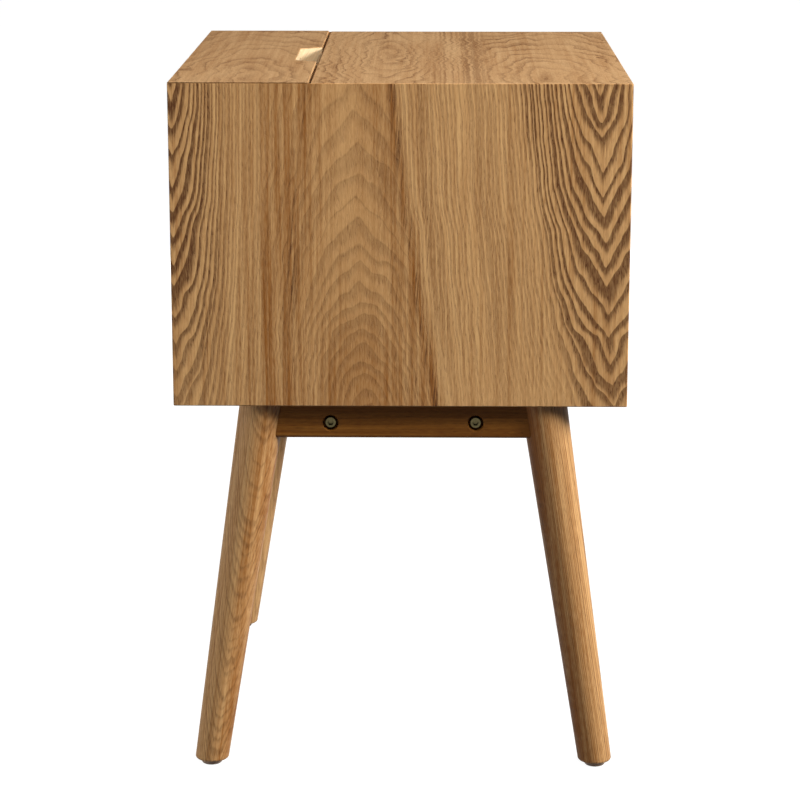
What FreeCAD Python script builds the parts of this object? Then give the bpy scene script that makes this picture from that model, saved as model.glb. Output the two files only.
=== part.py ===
import FreeCAD, Part
import math
import os

# Bedside cabinet of ash boards: a mitred box with a lidded cable bay behind two drawers, on a bolted frame
# with four splayed, tapered legs. +Z is up, the origin is on the floor under the middle of the box, the
# front faces -Y, and left is -X. Lengths are in millimetres and angles in degrees.

V = FreeCAD.Vector
X_AXIS = V(1, 0, 0)
Y_AXIS = V(0, 1, 0)
Z_AXIS = V(0, 0, 1)

# The box
WIDTH = 450.0
DEPTH = 400.0
HEIGHT = 630.0
BOX_HEIGHT = 285.0
BOARD = 18.0
ARRIS = 0.8
OVERRUN = 5.0
TOLERANCE = 1e-4

# The lid and its notch
LID_DEPTH = 121.0
SEAM_GAP = 2.0
SEAM_ARRIS = 0.5
LID_PROUD = 0.8
LID_MITRE_GAP = 1.0
NOTCH_LENGTH = 128.0
NOTCH_INNER_LENGTH = 101.0
NOTCH_DEPTH = 20.0

# Butt hinges under the lid's rear edge
HINGE_X = 125.0
HINGE_LENGTH = 50.0
HINGE_KNUCKLES = 5
KNUCKLE_RADIUS = 3.0
KNUCKLE_GAP = 0.15
HINGE_STANDOFF = 3.5
LEAF_WIDTH = 16.0
LEAF_THICKNESS = 1.5
LEAF_GAP = 0.4
PIN_RADIUS = 1.5
PIN_PLAY = 0.05
PIN_HEAD_RADIUS = 2.3
PIN_HEAD = 1.0
LEAF_SCREW_X = 16.0
LEAF_SCREW_INSET = 7.5
LEAF_SCREW_LENGTH = 12.5

# Boards inside the box
DIVIDER_Y = 70.0
PAD_RADIUS = 3.0
PAD_X = 150.0
PAD_INSET = 3.5
HINGE_RAIL_HEIGHT = 55.0
BACK = 8.0
BACK_RECESS = 1.0
REBATE = 9.0
REBATE_PLAY = 0.5
BACK_LAP = 10.0
OUTLET_RADIUS = 25.0
OUTLET_Z = 440.0
DRAWER_RAIL_DEPTH = 40.0
DRAWER_RAIL_Y = -150.0
TONGUE = 4.0
TONGUE_WIDTH = 12.0
TONGUE_OFFSET = 6.5
TONGUE_STOP = 15.0
DIVIDER_DOWEL_SHARES = (0.15, 0.5, 0.85)
HINGE_RAIL_DOWEL_RISES = (10.0, 32.0)
DRAWER_RAIL_DOWEL_SHIFT = 10.0
BACK_SCREW_X = 155.0
BACK_SCREW_Z = (415.0, 500.0)
BACK_SCREW_LENGTH = 22.0

# Drawers
FRONT_GAP = 2.0
DRAWER_SIDE = 12.0
DRAWER_HEIGHT = 97.5
DRAWER_LIFT = 3.0
DRAWER_REAR_Y = 58.0
DRAWER_BOTTOM = 5.0
DRAWER_BOTTOM_RISE = 12.0
DRAWER_GROOVE = 6.0
RUNNER_HEIGHT = 14.0
RUNNER_THICKNESS = 7.5
RUNNER_RISE = 50.0
RUNNER_FRONT_Y = -178.0
RUNNER_REAR_Y = 62.0
RUNNER_PLAY_ABOVE = 0.25
RUNNER_PLAY_BELOW = 0.5
RUNNER_SCREW_Y = (-150.0, -55.0, 40.0)
RUNNER_SCREW_LENGTH = 19.0
DRAWER_DOWEL_RISES = (30.0, 78.0)
DRAWER_DOWEL_INSET = 4.0
PEG_RADIUS = 4.0
PEG_Y = -144.0
PEG_X = 100.0
PEG_HEIGHT = 8.0
PEG_DEPTH = 12.0

# Leg frame
FRAME_Y = -2.5
LEG_INSET = 28.0
LEG_SPACING = 250.0
LEG_SPLAY = 8.6
LEG_TOP_RADIUS = 20.5
LEG_FOOT_RADIUS = 15.2
LEG_FOOT_ROUND = 2.5
LEG_OVERRUN = 20.0
RAIL_THICKNESS = 25.0
RAIL_HEIGHT = 33.0
RAIL_ROUND = 3.5
GLIDE_RADIUS = 9.25
GLIDE_THICKNESS = 4.5
GLIDE_CHAMFER = 0.8
NAIL_RADIUS = 1.2
NAIL_LENGTH = 12.0
CROSS_RAIL_SPACING = 129.0
FRAME_DOWEL_DROPS = (9.0, 25.0)
FRAME_DOWEL_STOP = 2.0
THIN_DOWEL_DROP = 7.0

# Fasteners
BOLT_RADIUS = 3.0
BOLT_LENGTH = 60.0
BOLT_CLEARANCE = 0.25
BOLT_HEAD_RADIUS = 5.0
BOLT_HEAD = 6.0
BOLT_HEAD_BEVEL = 0.5
BOLT_TIP = 1.0
BOLT_SOCKET = 5.0
BOLT_SOCKET_DEPTH = 3.5
BOLT_SOCKET_SIDES = 6
BOLT_DROP = 19.0
COUNTERBORE_RADIUS = 7.0
COUNTERBORE_DEPTH = 8.0
COUNTERBORE_ARRIS = 0.6
NUT_RADIUS = 5.0
NUT_LENGTH = 16.0
NUT_INSET = 29.5
NUT_SLOT = 1.4
DOWEL_RADIUS = 4.0
DOWEL_LENGTH = 30.0
DOWEL_ARRIS = 0.6
THIN_DOWEL_RADIUS = 3.0
THIN_DOWEL_LENGTH = 28.0
DOWEL_IN_BOARD = 12.0
SCREW_RADIUS = 1.4
SCREW_HEAD_RADIUS = 2.7
SCREW_LIP = 0.2
RECESS_ARM = 0.6
RECESS_BLADE = 0.16
RECESS_DEPTH = 0.5
FRAME_SCREW_RADIUS = 2.0
FRAME_SCREW_HEAD_RADIUS = 4.2
FRAME_SCREW_LENGTH = 32.0
FRAME_SCREW_X = 120.0
FRAME_SCREW_POCKET = 14.0
FRAME_SCREW_POCKET_RADIUS = 5.0

# Places that follow from the dimensions
HALF_WIDTH = WIDTH / 2
INNER_X = HALF_WIDTH - BOARD
FRONT_Y = -DEPTH / 2
REAR_Y = DEPTH / 2
BOX_LOW = HEIGHT - BOX_HEIGHT
INNER_LOW = BOX_LOW + BOARD
INNER_TOP = HEIGHT - BOARD
LID_FRONT_Y = REAR_Y - LID_DEPTH
TOP_REAR_Y = LID_FRONT_Y - SEAM_GAP
LID_LOW = INNER_TOP + LID_PROUD
HINGE_Y = REAR_Y + HINGE_STANDOFF
HINGE_Z = INNER_TOP + LID_PROUD / 2
BACK_REAR_Y = REAR_Y - BACK_RECESS
BACK_FRONT_Y = BACK_REAR_Y - BACK
HINGE_RAIL_LOW = INNER_TOP - HINGE_RAIL_HEIGHT
BACK_TOP = HINGE_RAIL_LOW + BACK_LAP
OPENING = INNER_TOP - INNER_LOW
RAIL_MIDDLE_Z = (INNER_TOP + INNER_LOW) / 2
DRAWER_FRONT_HEIGHT = (OPENING - 3 * FRONT_GAP) / 2
FRONT_REAR_Y = FRONT_Y + BOARD
DRAWER_X = INNER_X - FRONT_GAP
LEG_X = HALF_WIDTH - LEG_INSET
RAIL_LOW = BOX_LOW - RAIL_HEIGHT
BOLT_Z = BOX_LOW - BOLT_DROP
CROSS_RAIL_X = LEG_X - RAIL_THICKNESS / 2
BOX_LOWS = {
    "lower": INNER_LOW + DRAWER_LIFT,
    "upper": RAIL_MIDDLE_Z + BOARD / 2 + DRAWER_LIFT,
}
FRONT_LOWS = {
    "lower": INNER_LOW + FRONT_GAP,
    "upper": INNER_LOW + 2 * FRONT_GAP + DRAWER_FRONT_HEIGHT,
}
SIDES = (("left", -1), ("right", 1))
ENDS = (("front", -1), ("rear", 1))

parts = {}


def block(x_range, y_range, z_range):
    """Rectangular block between the low and high value on each axis."""
    low = V(x_range[0], y_range[0], z_range[0])
    return Part.makeBox(x_range[1] - low.x, y_range[1] - low.y, z_range[1] - low.z, low)


def span(a, b):
    """The two values in rising order."""
    return (min(a, b), max(a, b))


def prism(corners, travel):
    """Solid swept by the flat outline through corners as it moves along travel."""
    outline = Part.makePolygon(corners + corners[:1])
    return Part.Face(outline).extrude(travel)


def xz_board(outline, y_range):
    """Board whose cross-section, seen from the front, is the outline of (x, z) corners."""
    corners = [V(x, y_range[0], z) for x, z in outline]
    return prism(corners, Y_AXIS * (y_range[1] - y_range[0]))


def turned(profile, base, direction):
    """Round solid: the profile of (radius, distance) points turned about direction, from base."""
    outline = Part.makePolygon([V(radius, 0, along) for radius, along in profile + profile[:1]])
    solid = Part.Face(outline).revolve(V(0, 0, 0), Z_AXIS, 360)
    solid.Placement = FreeCAD.Placement(base, FreeCAD.Rotation(Z_AXIS, direction))
    return solid


def chamfered(shape, size, wanted):
    """Chamfer each edge whose box of extremes passes the test wanted."""
    return shape.makeChamfer(size, [edge for edge in shape.Edges if wanted(edge.BoundBox)])


def near(value, target):
    """True where the two lengths are the same but for rounding."""
    return abs(value - target) < TOLERANCE


def mirror_x(shape):
    """The same shape, left for right."""
    return shape.mirror(V(0, 0, 0), X_AXIS)


def dowel(radius, length, base, direction):
    """Dowel with eased ends, and the plain hole that takes it."""
    profile = [
        (0, 0),
        (radius - DOWEL_ARRIS, 0),
        (radius, DOWEL_ARRIS),
        (radius, length - DOWEL_ARRIS),
        (radius - DOWEL_ARRIS, length),
        (0, length),
    ]
    return turned(profile, base, direction), Part.makeCylinder(radius, length, base, direction)


def screw(radius, head_radius, length, base, direction):
    """Countersunk wood screw with a cross recess, and the hole that it fills.

    base is the middle of the head's flat face, and direction is the way that the screw is driven.
    """
    profile = [
        (0, 0),
        (head_radius, 0),
        (head_radius, SCREW_LIP),
        (radius, SCREW_LIP + head_radius - radius),
        (radius, length - 2 * radius),
        (0, length),
    ]
    hole = turned(profile, base, direction)
    arm = head_radius * RECESS_ARM
    blade = head_radius * RECESS_BLADE
    depth = head_radius * RECESS_DEPTH
    turn = FreeCAD.Rotation(Z_AXIS, direction)
    solid = hole
    for half_x, half_y in ((arm, blade), (blade, arm)):
        slot = block((-half_x, half_x), (-half_y, half_y), (-depth, depth))
        slot.Placement = FreeCAD.Placement(base, turn)
        solid = solid.cut(slot)
    return solid, hole


def save(name, *solids):
    """Keep the solids as one named piece, or as one group of like pieces."""
    parts[name] = solids[0] if len(solids) == 1 else Part.makeCompound(list(solids))


# Fasteners are made first, because the boards are bored to take them.


def make_mitre_tongues():
    tongues = []
    for side in (-1, 1):
        for level, inner_z, rear_y in ((1, INNER_TOP, TOP_REAR_Y), (-1, INNER_LOW, BACK_FRONT_Y)):
            middle = V(side * (INNER_X + TONGUE_OFFSET), 0, inner_z + level * TONGUE_OFFSET)
            along = V(side, 0, level).normalize() * (TONGUE / 2)
            across = V(side, 0, -level).normalize() * (TONGUE_WIDTH / 2)
            corners = [middle + along + across, middle + along - across]
            corners += [middle - along - across, middle - along + across]
            start = FRONT_Y + TONGUE_STOP
            corners = [corner + Y_AXIS * start for corner in corners]
            tongues.append(prism(corners, Y_AXIS * (rear_y - TONGUE_STOP - start)))
    return tongues


def make_carcase_dowels():
    """Dowels between the side panels and the boards that stand or lie between them."""
    divider_y = DIVIDER_Y + BOARD / 2
    places = [(divider_y, INNER_LOW + OPENING * share) for share in DIVIDER_DOWEL_SHARES]
    hinge_rail_y = REAR_Y - BOARD / 2
    places += [(hinge_rail_y, BACK_TOP + rise) for rise in HINGE_RAIL_DOWEL_RISES]
    rail_middle_y = DRAWER_RAIL_Y + DRAWER_RAIL_DEPTH / 2
    shifts = (-DRAWER_RAIL_DOWEL_SHIFT, DRAWER_RAIL_DOWEL_SHIFT)
    places += [(rail_middle_y + shift, RAIL_MIDDLE_Z) for shift in shifts]
    reach = INNER_X + DOWEL_IN_BOARD
    return [
        dowel(DOWEL_RADIUS, DOWEL_LENGTH, V(side * reach, y, z), X_AXIS * -side)
        for side in (-1, 1)
        for y, z in places
    ]


def make_back_screws():
    low_z = INNER_LOW - REBATE / 2
    top_z = BACK_TOP - BACK_LAP / 2
    side_x = INNER_X + REBATE / 2
    places = [(x, z) for z in (low_z, top_z) for x in (-BACK_SCREW_X, 0, BACK_SCREW_X)]
    places += [(side * side_x, z) for side in (-1, 1) for z in BACK_SCREW_Z]
    return [
        screw(SCREW_RADIUS, SCREW_HEAD_RADIUS, BACK_SCREW_LENGTH, V(x, BACK_REAR_Y, z), Y_AXIS * -1)
        for x, z in places
    ]


def make_leaf_screws(level):
    """Screws of both hinges: down through the fixed leaves, level -1, or up through the moving ones, 1."""
    z = HINGE_Z + level * LEAF_GAP / 2
    places = [hinge + shift for hinge in (-HINGE_X, HINGE_X) for shift in (-LEAF_SCREW_X, LEAF_SCREW_X)]
    y = REAR_Y - LEAF_SCREW_INSET
    return [
        screw(SCREW_RADIUS, SCREW_HEAD_RADIUS, LEAF_SCREW_LENGTH, V(x, y, z), Z_AXIS * level)
        for x in places
    ]


def runner_z(box_low):
    """Height of the middle of the runners of the drawer whose box starts at box_low."""
    return box_low + RUNNER_RISE


def make_runner_screws():
    face = INNER_X - RUNNER_THICKNESS
    return [
        screw(
            SCREW_RADIUS,
            SCREW_HEAD_RADIUS,
            RUNNER_SCREW_LENGTH,
            V(side * face, y, runner_z(box_low)),
            X_AXIS * side,
        )
        for side in (-1, 1)
        for box_low in BOX_LOWS.values()
        for y in RUNNER_SCREW_Y
    ]


def make_stop_pegs():
    """Pegs that stand up in the way of each drawer's back."""
    length = PEG_HEIGHT + PEG_DEPTH
    return [
        dowel(PEG_RADIUS, length, V(x, PEG_Y, base - PEG_DEPTH), Z_AXIS)
        for base in (INNER_LOW, RAIL_MIDDLE_Z + BOARD / 2)
        for x in (-PEG_X, PEG_X)
    ]


def make_frame_screws():
    """Screws up through the cross rails into the bottom of the box."""
    return [
        screw(
            FRAME_SCREW_RADIUS,
            FRAME_SCREW_HEAD_RADIUS,
            FRAME_SCREW_LENGTH,
            V(x, cross_rail_y(end), RAIL_LOW + FRAME_SCREW_POCKET),
            Z_AXIS,
        )
        for end in (-1, 1)
        for x in (-FRAME_SCREW_X, FRAME_SCREW_X)
    ]


def cross_rail_y(end):
    """Middle of the front cross rail, end -1, or of the rear one, 1."""
    return FRAME_Y + end * CROSS_RAIL_SPACING / 2


def make_frame_dowels():
    """Dowels between side rails and legs, and the thin ones that keep the cross rails from turning."""
    dowels = []
    for side in (-1, 1):
        for end in (-1, 1):
            start_y = FRAME_Y + end * (LEG_SPACING / 2 - DOWEL_LENGTH - FRAME_DOWEL_STOP)
            for drop in FRAME_DOWEL_DROPS:
                base = V(side * LEG_X, start_y, BOX_LOW - drop)
                dowels.append(dowel(DOWEL_RADIUS, DOWEL_LENGTH, base, Y_AXIS * end))
            base = V(side * LEG_X, cross_rail_y(end), BOX_LOW - THIN_DOWEL_DROP)
            dowels.append(dowel(THIN_DOWEL_RADIUS, THIN_DOWEL_LENGTH, base, X_AXIS * -side))
    return dowels


def make_frame_bolt(side, end):
    """Socket bolt, head in the side rail's counterbore, shank along X into the cross rail."""
    seat_x = LEG_X + RAIL_THICKNESS / 2 - COUNTERBORE_DEPTH
    base = V(side * (seat_x + BOLT_HEAD), cross_rail_y(end), BOLT_Z)
    inward = X_AXIS * -side
    profile = [
        (0, 0),
        (BOLT_HEAD_RADIUS - BOLT_HEAD_BEVEL, 0),
        (BOLT_HEAD_RADIUS, BOLT_HEAD_BEVEL),
        (BOLT_HEAD_RADIUS, BOLT_HEAD),
        (BOLT_RADIUS, BOLT_HEAD),
        (BOLT_RADIUS, BOLT_HEAD + BOLT_LENGTH - BOLT_TIP),
        (BOLT_RADIUS - BOLT_TIP, BOLT_HEAD + BOLT_LENGTH),
        (0, BOLT_HEAD + BOLT_LENGTH),
    ]
    bolt = turned(profile, base, inward)
    corner = BOLT_SOCKET / math.sqrt(3)
    angles = [2 * math.pi * step / BOLT_SOCKET_SIDES for step in range(BOLT_SOCKET_SIDES)]
    hexagon = [V(0, corner * math.cos(angle), corner * math.sin(angle)) + base for angle in angles]
    return bolt.cut(prism(hexagon, inward * BOLT_SOCKET_DEPTH))


def make_barrel_nut(side, end):
    """Cross dowel nut standing in the cross rail, slotted underneath."""
    x = side * (CROSS_RAIL_X - NUT_INSET)
    base = V(x, cross_rail_y(end), BOLT_Z - NUT_LENGTH / 2)
    nut = Part.makeCylinder(NUT_RADIUS, NUT_LENGTH, base, Z_AXIS)
    thread = Part.makeCylinder(BOLT_RADIUS, 4 * NUT_RADIUS, V(x - 2 * NUT_RADIUS, base.y, BOLT_Z), X_AXIS)
    slot = block(
        (x - NUT_RADIUS, x + NUT_RADIUS),
        (base.y - NUT_SLOT / 2, base.y + NUT_SLOT / 2),
        (base.z - NUT_SLOT, base.z + NUT_SLOT),
    )
    return nut.cut(thread).cut(slot)


def solids_of(pairs):
    """The solids of fasteners that are kept as pairs of solid and hole."""
    return [solid for solid, hole in pairs]


def bored(shape, pairs):
    """The shape with the holes of those fasteners that reach it."""
    for solid, hole in pairs:
        if shape.BoundBox.intersect(hole.BoundBox):
            shape = shape.cut(hole)
    return shape


def make_side_panel():
    """Left side panel, mitred at top and bottom, rebated for the back."""
    outline = [
        (-HALF_WIDTH, BOX_LOW + ARRIS),
        (-HALF_WIDTH, HEIGHT - ARRIS),
        (-HALF_WIDTH + ARRIS / 2, HEIGHT - ARRIS / 2),
        (-INNER_X, INNER_TOP),
        (-INNER_X, INNER_LOW),
        (-HALF_WIDTH + ARRIS / 2, BOX_LOW + ARRIS / 2),
    ]
    panel = xz_board(outline, (FRONT_Y, REAR_Y))
    panel = chamfered(
        panel,
        ARRIS,
        lambda box: near(box.XMax, -HALF_WIDTH) and near(box.YMin, box.YMax),
    )
    rebate_z = (INNER_LOW - REBATE, BACK_TOP)
    rebate = block((-INNER_X - REBATE, OVERRUN - INNER_X), (BACK_FRONT_Y, REAR_Y + OVERRUN), rebate_z)
    return panel.cut(rebate)


def end_mitred_board(level, y_range):
    """Top board, level 1, or bottom board, level -1, mitred at both ends."""
    outer_z = HEIGHT if level > 0 else BOX_LOW
    inner_z = outer_z - level * BOARD
    tip_z = outer_z - level * ARRIS / 2
    outline = [
        (-HALF_WIDTH + ARRIS, outer_z),
        (HALF_WIDTH - ARRIS, outer_z),
        (HALF_WIDTH - ARRIS / 2, tip_z),
        (INNER_X, inner_z),
        (-INNER_X, inner_z),
        (-HALF_WIDTH + ARRIS / 2, tip_z),
    ]
    board = xz_board(outline, y_range)
    return chamfered(
        board,
        ARRIS,
        lambda box: near(box.ZMax, outer_z) and near(box.ZMin, outer_z) and near(box.YMin, box.YMax),
    )


def make_bottom_panel():
    panel = end_mitred_board(-1, (FRONT_Y, REAR_Y))
    rebate_x = INNER_X + REBATE
    return panel.cut(
        block(
            (-rebate_x, rebate_x),
            (BACK_FRONT_Y, REAR_Y + OVERRUN),
            (INNER_LOW - REBATE, INNER_LOW + OVERRUN),
        )
    )


def notch_outline(reach):
    """Half lengths of the finger notch at its mouth, run on past the edge by reach, and at its floor."""
    slope = (NOTCH_LENGTH - NOTCH_INNER_LENGTH) / 2 / NOTCH_DEPTH
    return NOTCH_LENGTH / 2 + slope * reach, NOTCH_INNER_LENGTH / 2


def make_lid():
    """Lid with bevelled ends, and a notch in its front edge for a finger or a cable."""
    top = LID_LOW + BOARD
    bevel = HEIGHT - HALF_WIDTH + LID_MITRE_GAP * math.sqrt(2)
    end_top = top - bevel
    end_low = LID_LOW - bevel
    outline = [
        (ARRIS - end_top, top),
        (end_top - ARRIS, top),
        (end_top - ARRIS / 2, top - ARRIS / 2),
        (end_low, LID_LOW),
        (-end_low, LID_LOW),
        (ARRIS / 2 - end_top, top - ARRIS / 2),
    ]
    lid = xz_board(outline, (LID_FRONT_Y, REAR_Y))
    mouth, floor = notch_outline(OVERRUN)
    mouth_y = LID_FRONT_Y - OVERRUN
    floor_y = LID_FRONT_Y + NOTCH_DEPTH
    plan = [(-mouth, mouth_y), (mouth, mouth_y), (floor, floor_y), (-floor, floor_y)]
    corners = [V(x, y, LID_LOW - OVERRUN) for x, y in plan]
    lid = lid.cut(prism(corners, Z_AXIS * (BOARD + 2 * OVERRUN)))
    lid = chamfered(
        lid,
        SEAM_ARRIS,
        lambda box: near(box.ZMin, top) and near(box.ZMax, top) and not near(box.YMax, REAR_Y),
    )
    return chamfered(lid, ARRIS, lambda box: near(box.ZMin, top) and near(box.YMin, REAR_Y))


def make_hinge_rail():
    rail = block((-INNER_X, INNER_X), (REAR_Y - BOARD, REAR_Y), (HINGE_RAIL_LOW, INNER_TOP))
    lap = block(
        (-INNER_X, INNER_X),
        (BACK_FRONT_Y, REAR_Y + OVERRUN),
        (HINGE_RAIL_LOW - OVERRUN, BACK_TOP),
    )
    return rail.cut(lap)


def make_back_panel():
    reach = INNER_X + REBATE - REBATE_PLAY
    z_range = (INNER_LOW - REBATE + REBATE_PLAY, BACK_TOP - REBATE_PLAY)
    panel = block((-reach, reach), (BACK_FRONT_Y, BACK_REAR_Y), z_range)
    outlet = Part.makeCylinder(OUTLET_RADIUS, BACK, V(0, BACK_FRONT_Y, OUTLET_Z), Y_AXIS)
    return panel.cut(outlet)


def hinge_seat(x, level):
    """Space of one leaf's plate: below the pin, level -1, or above it, level 1."""
    near_z = HINGE_Z + level * LEAF_GAP / 2
    far_z = near_z + level * LEAF_THICKNESS
    half = HINGE_LENGTH / 2
    return block((x - half, x + half), (HINGE_Y - LEAF_WIDTH, HINGE_Y), span(near_z, far_z))


def knuckle_rods(x, first, radius, gap):
    """Rods along the pin on every second knuckle from first, each shorter by gap at both its ends."""
    length = HINGE_LENGTH / HINGE_KNUCKLES
    starts = [x - HINGE_LENGTH / 2 + length * step for step in range(first, HINGE_KNUCKLES, 2)]
    return [
        Part.makeCylinder(radius, length - 2 * gap, V(start + gap, HINGE_Y, HINGE_Z), X_AXIS)
        for start in starts
    ]


def make_leaf(x, level, bore_radius):
    """Hinge leaf: its plate, its own knuckles, and room for the other leaf's knuckles."""
    own, other = (0, 1) if level < 0 else (1, 0)
    leaf = hinge_seat(x, level)
    for rod in knuckle_rods(x, other, KNUCKLE_RADIUS + 2 * KNUCKLE_GAP, -KNUCKLE_GAP):
        leaf = leaf.cut(rod)
    for rod in knuckle_rods(x, own, KNUCKLE_RADIUS, 0):
        leaf = leaf.fuse(rod)
    start = V(x - HINGE_LENGTH, HINGE_Y, HINGE_Z)
    leaf = leaf.cut(Part.makeCylinder(bore_radius, 2 * HINGE_LENGTH, start, X_AXIS))
    return leaf.removeSplitter()


def make_hinge_pin(x):
    reach = HINGE_LENGTH + PIN_HEAD
    profile = [
        (0, -PIN_HEAD),
        (PIN_HEAD_RADIUS - PIN_HEAD / 2, -PIN_HEAD),
        (PIN_HEAD_RADIUS, -PIN_HEAD / 2),
        (PIN_HEAD_RADIUS, 0),
        (PIN_RADIUS, 0),
        (PIN_RADIUS, HINGE_LENGTH),
        (PIN_HEAD_RADIUS, HINGE_LENGTH),
        (PIN_HEAD_RADIUS, reach - PIN_HEAD / 2),
        (PIN_HEAD_RADIUS - PIN_HEAD / 2, reach),
        (0, reach),
    ]
    return turned(profile, V(x - HINGE_LENGTH / 2, HINGE_Y, HINGE_Z), X_AXIS)


def make_drawer(name, front_low, box_low):
    """Drawer of front, two grooved sides, back and a bottom held in grooves, all dowelled."""
    front_top = front_low + DRAWER_FRONT_HEIGHT
    box_top = box_low + DRAWER_HEIGHT
    bottom_low = box_low + DRAWER_BOTTOM_RISE
    bottom_z = (bottom_low, bottom_low + DRAWER_BOTTOM)
    side_inner = DRAWER_X - DRAWER_SIDE
    back_front_y = DRAWER_REAR_Y - DRAWER_SIDE
    groove_x = side_inner + DRAWER_GROOVE
    groove_y = (FRONT_REAR_Y - DRAWER_GROOVE, back_front_y + DRAWER_GROOVE)
    bottom_room = block((-groove_x, groove_x), groove_y, bottom_z)

    dowels = []
    for side in (-1, 1):
        for rise in DRAWER_DOWEL_RISES:
            front_end = V(side * (DRAWER_X - DRAWER_SIDE / 2), FRONT_REAR_Y - DOWEL_IN_BOARD, box_low + rise)
            dowels.append(dowel(THIN_DOWEL_RADIUS, THIN_DOWEL_LENGTH, front_end, Y_AXIS))
            outer_x = DRAWER_X - DRAWER_DOWEL_INSET
            back_end = V(side * outer_x, DRAWER_REAR_Y - DRAWER_SIDE / 2, box_low + rise)
            dowels.append(dowel(THIN_DOWEL_RADIUS, THIN_DOWEL_LENGTH, back_end, X_AXIS * -side))

    front = block((-DRAWER_X, DRAWER_X), (FRONT_Y, FRONT_REAR_Y), (front_low, front_top))
    mouth, floor = notch_outline(OVERRUN)
    mouth_z = front_top + OVERRUN
    floor_z = front_top - NOTCH_DEPTH
    outline = [(-mouth, mouth_z), (mouth, mouth_z), (floor, floor_z), (-floor, floor_z)]
    front = front.cut(xz_board(outline, (FRONT_Y - OVERRUN, FRONT_REAR_Y + OVERRUN)))
    front = chamfered(front, ARRIS, lambda box: near(box.YMin, FRONT_Y) and near(box.YMax, FRONT_Y))

    left = block((-DRAWER_X, -side_inner), (FRONT_REAR_Y, DRAWER_REAR_Y), (box_low, box_top))
    middle = runner_z(box_low)
    runner_room = (
        middle - RUNNER_HEIGHT / 2 - RUNNER_PLAY_BELOW,
        middle + RUNNER_HEIGHT / 2 + RUNNER_PLAY_ABOVE,
    )
    slide_y = (RUNNER_FRONT_Y - RUNNER_PLAY_BELOW, DRAWER_REAR_Y + OVERRUN)
    left = left.cut(block((-DRAWER_X - OVERRUN, -DRAWER_X + DRAWER_GROOVE), slide_y, runner_room))
    left = left.cut(bottom_room)
    back = block((-side_inner, side_inner), (back_front_y, DRAWER_REAR_Y), (box_low, box_top))
    play = REBATE_PLAY
    bottom = block(
        (play - groove_x, groove_x - play), (groove_y[0] + play, groove_y[1] - play), bottom_z
    )

    save(f"{name}_drawer_front", bored(front.cut(bottom_room), dowels))
    save(f"{name}_drawer_left_side", bored(left, dowels))
    save(f"{name}_drawer_right_side", bored(mirror_x(left), dowels))
    save(f"{name}_drawer_back", bored(back.cut(bottom_room), dowels))
    save(f"{name}_drawer_bottom", bottom)
    save(f"{name}_drawer_dowels", *solids_of(dowels))


def leg_axis(side, end):
    """Middle of the leg's top, and the direction down the leg."""
    top = V(side * LEG_X, FRAME_Y + end * LEG_SPACING / 2, BOX_LOW)
    angle = math.radians(LEG_SPLAY)
    return top, V(0, end * math.sin(angle), -math.cos(angle))


def foot_centre(side, end):
    """Middle of the leg's cut end, on top of its glide."""
    top, down = leg_axis(side, end)
    return top + down * ((top.z - GLIDE_THICKNESS) / -down.z)


def make_leg_cone(side, end):
    """Tapered round bar of the leg, run on past both its ends."""
    top, down = leg_axis(side, end)
    length = (BOX_LOW - GLIDE_THICKNESS) / -down.z
    slope = (LEG_TOP_RADIUS - LEG_FOOT_RADIUS) / length
    start_radius = LEG_TOP_RADIUS + slope * LEG_OVERRUN
    end_radius = LEG_FOOT_RADIUS - slope * LEG_OVERRUN
    return Part.makeCone(start_radius, end_radius, length + 2 * LEG_OVERRUN, top - down * LEG_OVERRUN, down)


def make_leg(side, end):
    """Leg cut level at both ends, its foot rounded, bored for the glide's nail."""
    slab = block((-WIDTH, WIDTH), (-DEPTH, DEPTH), (GLIDE_THICKNESS, BOX_LOW))
    leg = make_leg_cone(side, end).common(slab)
    foot_edges = [edge for edge in leg.Edges if near(edge.BoundBox.ZMax, GLIDE_THICKNESS)]
    leg = leg.makeFillet(LEG_FOOT_ROUND, foot_edges)
    nail = Part.makeCylinder(NAIL_RADIUS, NAIL_LENGTH, foot_centre(side, end), Z_AXIS)
    return leg.cut(nail)


def make_glide(side, end):
    """Round plastic glide with its nail."""
    centre = foot_centre(side, end)
    nail_top = GLIDE_THICKNESS + NAIL_LENGTH
    profile = [
        (0, 0),
        (GLIDE_RADIUS - GLIDE_CHAMFER, 0),
        (GLIDE_RADIUS, GLIDE_CHAMFER),
        (GLIDE_RADIUS, GLIDE_THICKNESS),
        (NAIL_RADIUS, GLIDE_THICKNESS),
        (NAIL_RADIUS, nail_top),
        (0, nail_top),
    ]
    return turned(profile, V(centre.x, centre.y, 0), Z_AXIS)


def rounded_below(rail):
    """The rail with its two long lower edges rounded."""
    edges = [
        edge for edge in rail.Edges
        if near(edge.BoundBox.ZMax, RAIL_LOW) and edge.Length > 2 * RAIL_THICKNESS
    ]
    return rail.makeFillet(RAIL_ROUND, edges)


def make_side_rail(side):
    """Rail between two legs: coped round them, counterbored for the frame bolts."""
    outer_x = LEG_X + RAIL_THICKNESS / 2
    y_range = (FRAME_Y - LEG_SPACING / 2, FRAME_Y + LEG_SPACING / 2)
    rail = rounded_below(block(span(side * outer_x, side * CROSS_RAIL_X), y_range, (RAIL_LOW, BOX_LOW)))
    inward = X_AXIS * -side
    for end in (-1, 1):
        rail = rail.cut(make_leg_cone(side, end))
        face = V(side * outer_x, cross_rail_y(end), BOLT_Z)
        rail = rail.cut(Part.makeCylinder(COUNTERBORE_RADIUS, COUNTERBORE_DEPTH, face, inward))
        mouth = COUNTERBORE_RADIUS + COUNTERBORE_ARRIS
        rail = rail.cut(Part.makeCone(mouth, COUNTERBORE_RADIUS, COUNTERBORE_ARRIS, face, inward))
        rail = rail.cut(Part.makeCylinder(BOLT_RADIUS + BOLT_CLEARANCE, RAIL_THICKNESS, face, inward))
    return rail


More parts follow.
